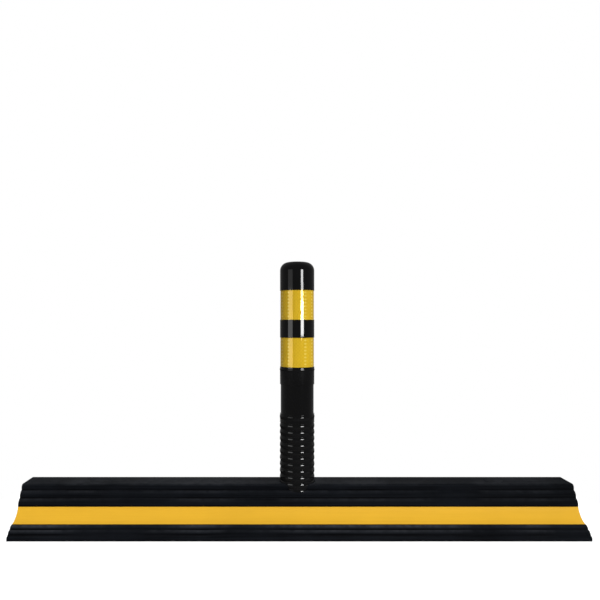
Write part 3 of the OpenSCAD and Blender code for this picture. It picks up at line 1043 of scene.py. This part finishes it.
def band_film_finish():
    """Golden prismatic film: rows of diamonds, and pale dots in columns where its panels are sealed."""
    finish = Finish("band_film", Metallic=0.07, Specular_IOR_Level=0.1,
                    Coat_Weight=0.8, Coat_Roughness=0.03, Coat_IOR=1.37)
    tree = finish.tree
    place = parts_of(tree, finish.place)
    turn = math_node(tree, "ARCTAN2", place["Y"], place["X"])
    round_way = math_node(tree, "MULTIPLY", turn, BAND_CELLS / (2 * math.pi))
    up_way = math_node(tree, "DIVIDE", place["Z"], BAND_CELL_HEIGHT)
    rising = math_node(tree, "ADD", round_way, up_way)
    falling = math_node(tree, "SUBTRACT", round_way, up_way)
    from_rising = math_node(tree, "PINGPONG", rising, 0.5)
    from_falling = math_node(tree, "PINGPONG", falling, 0.5)
    from_seams = math_node(tree, "MINIMUM", from_rising, from_falling)
    cell = joined(tree, X=math_node(tree, "FLOOR", rising), Y=math_node(tree, "FLOOR", falling))
    glint = add_node(tree, "ShaderNodeTexWhiteNoise", {"Vector": cell}).outputs["Value"]
    from_start = math_node(tree, "SUBTRACT", turn, SEAL_START)
    from_seal = math_node(tree, "PINGPONG", from_start, SEAL_TURN / 2)
    off_turn = math_node(tree, "SUBTRACT", from_seal, COLUMN_TURN)
    off_column = math_node(tree, "MULTIPLY", off_turn, DOT_NARROWING * RECESS_RADIUS)
    off_row = math_node(tree, "MULTIPLY", math_node(tree, "PINGPONG", up_way, 0.5), BAND_CELL_HEIGHT)
    from_dot = vector_node(tree, "DISTANCE", joined(tree, X=off_column, Y=off_row), (0, 0, 0))["Value"]
    gold = finish.use("clouds", Colour=FILM_GOLD, Size=0.02, Spread=0.05)
    cells = blend_colours(tree, between(tree, glint, 0.0, 1.0, 0.0, CELL_SHARE), gold, FILM_CELL)
    seams = blend_colours(tree, between(tree, from_seams, *SEAM_SPAN, SEAM_SHARE, 0.0), cells, FILM_SEAM)
    dots = between(tree, from_dot, *DOT_SPAN, 1.0, 0.0)
    finish.feed("Base Color", blend_colours(tree, dots, seams, FILM_DOT))
    finish.roughen(finish.use("scuffs", Size=0.008, Cover=0.4), least=0.03, most=0.08)
    finish.bump(from_seams, distance=0.000004)
    return finish.material


ZINC_GREY = (0.52, 0.53, 0.55, 1)
SPANGLES_PER_METRE = 160.0
SPANGLE_SHARE = 0.06


def zinc_plate_finish():
    """Zinc plating with a faint spangle."""
    finish = Finish("zinc_plate", Metallic=1.0)
    tree = finish.tree
    inputs = {"Vector": finish.place, "Scale": SPANGLES_PER_METRE}
    spangle = add_node(tree, "ShaderNodeTexVoronoi", inputs).outputs["Color"]
    grey = finish.use("clouds", Colour=ZINC_GREY, Size=0.012, Spread=0.12)
    finish.feed("Base Color", blend_colours(tree, SPANGLE_SHARE, grey, spangle))
    finish.roughen(finish.use("scuffs", Size=0.006, Cover=0.7), least=0.36, most=0.55)
    finish.bump(finish.use("grain", Size=0.0006), distance=0.00002)
    return finish.material


BRASS_YELLOW = (0.62, 0.46, 0.19, 1)
RING_SCALE = 900.0


def turned_brass_finish():
    """Brass with the fine rings that a lathe leaves."""
    finish = Finish("turned_brass", Metallic=1.0)
    finish.feed("Base Color", finish.use("clouds", Colour=BRASS_YELLOW, Size=0.004, Spread=0.12))
    inputs = {"Vector": finish.place, "Scale": RING_SCALE}
    rings = add_node(finish.tree, "ShaderNodeTexWave", inputs, bands_direction="Z").outputs["Fac"]
    finish.roughen(rings, least=0.28, most=0.42)
    finish.bump(rings, distance=0.00003)
    return finish.material


STRIP_RUBBER = strip_rubber_finish()
STRIPE_YELLOW = stripe_yellow_finish()
POST_BLACK = post_black_finish()
BAND_FILM = band_film_finish()
ZINC_PLATE = zinc_plate_finish()
TURNED_BRASS = turned_brass_finish()


# Pieces on their bodies

def dress(piece, body, finish, slot, *nodes):
    """Gives a piece its finish and puts it on a body, in place of CAD nodes."""
    piece.data.materials.clear()
    piece.data.materials.append(finish)
    piece.modifiers.new("even_shading", "WEIGHTED_NORMAL").keep_sharp = True
    if body:
        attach(piece, body)
    if nodes:
        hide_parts(*nodes)
    return piece


dress(rubber_strip(), "base", STRIP_RUBBER, "strip_rubber", "base_strip")
dress(yellow_stripe("yellow_stripe_front", -1), "base", STRIPE_YELLOW, "stripe_yellow", "front_stripe")
dress(yellow_stripe("yellow_stripe_rear", 1), "base", STRIPE_YELLOW, "stripe_yellow", "rear_stripe")
dress(post_foot(), "base", POST_BLACK, "post_black", "post_root")
for number, joint in enumerate(frame["joints"], start=1):
    height = joint["pos_m"][2]
    stands_for = [f"flex_rib_{number}"] if f"flex_rib_{number}" in frame["nodes"] else []
    web = dress(bend_web(number, height), None, POST_BLACK, "post_black", *stands_for)
    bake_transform(web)
dress(marker_post(), "post", POST_BLACK, "post_black", "post_shaft")
dress(film_band("film_band_upper", "upper_band"), "post", BAND_FILM, "band_gold", "upper_band")
dress(film_band("film_band_lower", "lower_band"), "post", BAND_FILM, "band_gold", "lower_band")
dress(anchor_bushes(), "base", ZINC_PLATE, "zinc_steel", "anchor_sleeves")
dress(anchor_lids(), "base", STRIP_RUBBER, "strip_rubber", "anchor_caps")
dress(holding_plate(), "base", ZINC_PLATE, "zinc_steel", "clamp_plate")
dress(holding_screws(), "base", ZINC_PLATE, "zinc_steel", "clamp_screws")
inserts = frame["nodes"]["screw_inserts"]
inserts.data.materials.clear()
inserts.data.materials.append(TURNED_BRASS)


# Floor, light and camera

WHITE = (1, 1, 1, 1)
FLOOR_WHITE = (0.9, 0.9, 0.9, 1)
FLOOR_HALF = (0.62, 0.30)
FLOOR_CORNER = 0.2
FLOOR_CORNER_STEPS = 16
FLOOR_GLOW = 0.42

# Room as matt surfaces and as gloss see it, and how far back a look goes to meet the backdrop
ROOM_LIGHT = 0.07
ROOM_SHEEN = 0.21
BACKDROP_SPAN = (0.90, 0.97)

# Camera, with its lens and film width in millimetres and its shift in frame widths
CAMERA_PLACE = (-0.0467, -1.101, 0.3814)
CAMERA_LENS = 35.56
CAMERA_FILM = 36
CAMERA_SHIFT = (0.0467, 0.03)


def seen_and_mirrored(tree):
    """Two values: 1 for rays from the eye, and 1 for rays from a reflection or through glass."""
    path = add_node(tree, "ShaderNodeLightPath").outputs
    mirrored = math_node(tree, "MAXIMUM", path["Is Glossy Ray"], path["Is Transmission Ray"])
    return path["Is Camera Ray"], mirrored


def white_floor():
    """Matt white. It glows a little where it is looked at, so that it meets the white behind it."""
    material = bpy.data.materials.new("floor_white")
    material.use_nodes = True
    tree = material.node_tree
    shader = tree.nodes["Principled BSDF"]
    shader.inputs["Base Color"].default_value = FLOOR_WHITE
    shader.inputs["Roughness"].default_value = 1.0
    shader.inputs["Specular IOR Level"].default_value = 0.0
    shader.inputs["Emission Color"].default_value = WHITE
    seen, mirrored = seen_and_mirrored(tree)
    glow = math_node(tree, "MULTIPLY", math_node(tree, "MAXIMUM", seen, mirrored), FLOOR_GLOW)
    tree.links.new(glow, shader.inputs["Emission Strength"])
    return material


def plain_floor():
    bm = bmesh.new()
    bmesh.ops.create_grid(bm, x_segments=1, y_segments=1, size=1)
    bmesh.ops.scale(bm, verts=bm.verts[:], vec=(*FLOOR_HALF, 1))
    round_off(bm, bm.verts[:], "VERTICES", FLOOR_CORNER, FLOOR_CORNER_STEPS)
    floor = finished(bm, "floor")
    floor.data.materials.append(white_floor())


def studio_world():
    """A dim room, brighter in gloss, with a white backdrop behind the part. To the eye all is white."""
    world = bpy.data.worlds.new("studio")
    world.use_nodes = True
    bpy.context.scene.world = world
    tree = world.node_tree
    tree.nodes.clear()
    way = add_node(tree, "ShaderNodeTexCoord").outputs["Generated"]
    backwards = parts_of(tree, way)["Y"]
    seen, mirrored = seen_and_mirrored(tree)
    backdrop = math_node(tree, "MULTIPLY", mirrored, between(tree, backwards, *BACKDROP_SPAN))
    strength = between(tree, mirrored, 0.0, 1.0, ROOM_LIGHT, ROOM_SHEEN)
    room = add_node(tree, "ShaderNodeBackground", {"Color": WHITE, "Strength": strength}).outputs[0]
    white = add_node(tree, "ShaderNodeBackground", {"Color": WHITE, "Strength": 1.0}).outputs[0]
    is_white = math_node(tree, "MAXIMUM", seen, backdrop)
    mixed = add_node(tree, "ShaderNodeMixShader", {0: is_white, 1: room, 2: white}).outputs[0]
    add_node(tree, "ShaderNodeOutputWorld", {"Surface": mixed})


def sun(name, azimuth, elevation, strength, spread):
    """Broad light from far away that gloss doesn't show. Azimuth goes from the front to the right."""
    turn = math.radians(azimuth)
    lift = math.radians(elevation)
    lamp = bpy.data.lights.new(name, "SUN")
    lamp.energy = strength * math.pi
    lamp.angle = math.radians(spread)
    holder = bpy.data.objects.new(name, lamp)
    level = Vector((math.sin(turn), -math.cos(turn), 0))
    direction = level * math.cos(lift) + Vector((0, 0, math.sin(lift)))
    holder.rotation_euler = direction.to_track_quat("Z", "Y").to_euler()
    holder.visible_glossy = False
    bpy.context.scene.collection.objects.link(holder)


def strip_light(name, azimuth, spread, distance, low, high, radiance):
    """A soft box that only gloss shows. It faces the post, and is as wide as an angle from there."""
    turn = math.radians(azimuth)
    width = 2 * distance * math.tan(math.radians(spread / 2))
    lamp = bpy.data.lights.new(name, "AREA")
    lamp.shape = "RECTANGLE"
    lamp.size = width
    lamp.size_y = high - low
    lamp.energy = radiance * math.pi * width * (high - low)
    holder = bpy.data.objects.new(name, lamp)
    place = Vector((math.sin(turn), -math.cos(turn), 0)) * distance
    holder.location = place + Vector((0, 0, (low + high) / 2))
    holder.rotation_euler = (math.pi / 2, 0, turn)
    holder.visible_diffuse = False
    bpy.context.scene.collection.objects.link(holder)


def studio_light():
    studio_world()
    sun("key", azimuth=32, elevation=42, strength=0.38, spread=60)
    sun("overhead", azimuth=0, elevation=80, strength=0.52, spread=120)
    sun("fill", azimuth=28, elevation=8, strength=0.27, spread=30)
    sun("rear", azimuth=175, elevation=22, strength=0.4, spread=70)
    strip_light("right_box", azimuth=32, spread=19.4, distance=3.0, low=0.254, high=0.5, radiance=36)
    strip_light("right_box_top", azimuth=31, spread=15, distance=3.0, low=0.5, high=0.62, radiance=24)
    strip_light("right_box_tip", azimuth=30, spread=14, distance=3.0, low=0.62, high=0.78, radiance=27)
    strip_light("left_box", azimuth=-48.3, spread=31.4, distance=2.5, low=0.077, high=0.55, radiance=3.15)
    strip_light("left_box_top", azimuth=-48.3, spread=31.4, distance=2.5, low=0.55, high=0.75, radiance=0.84)


def photo_camera():
    """Level camera a little to the left of the post, shifted to frame it as the photo does."""
    lens = bpy.data.cameras.new("photo_camera")
    lens.sensor_width = CAMERA_FILM
    lens.lens = CAMERA_LENS
    lens.shift_x, lens.shift_y = CAMERA_SHIFT
    holder = bpy.data.objects.new("photo_camera", lens)
    holder.location = CAMERA_PLACE
    holder.rotation_euler = (math.pi / 2, 0, 0)
    bpy.context.scene.collection.objects.link(holder)
    bpy.context.scene.camera = holder


plain_floor()
studio_light()
photo_camera()
bpy.context.scene.view_settings.view_transform = "Standard"
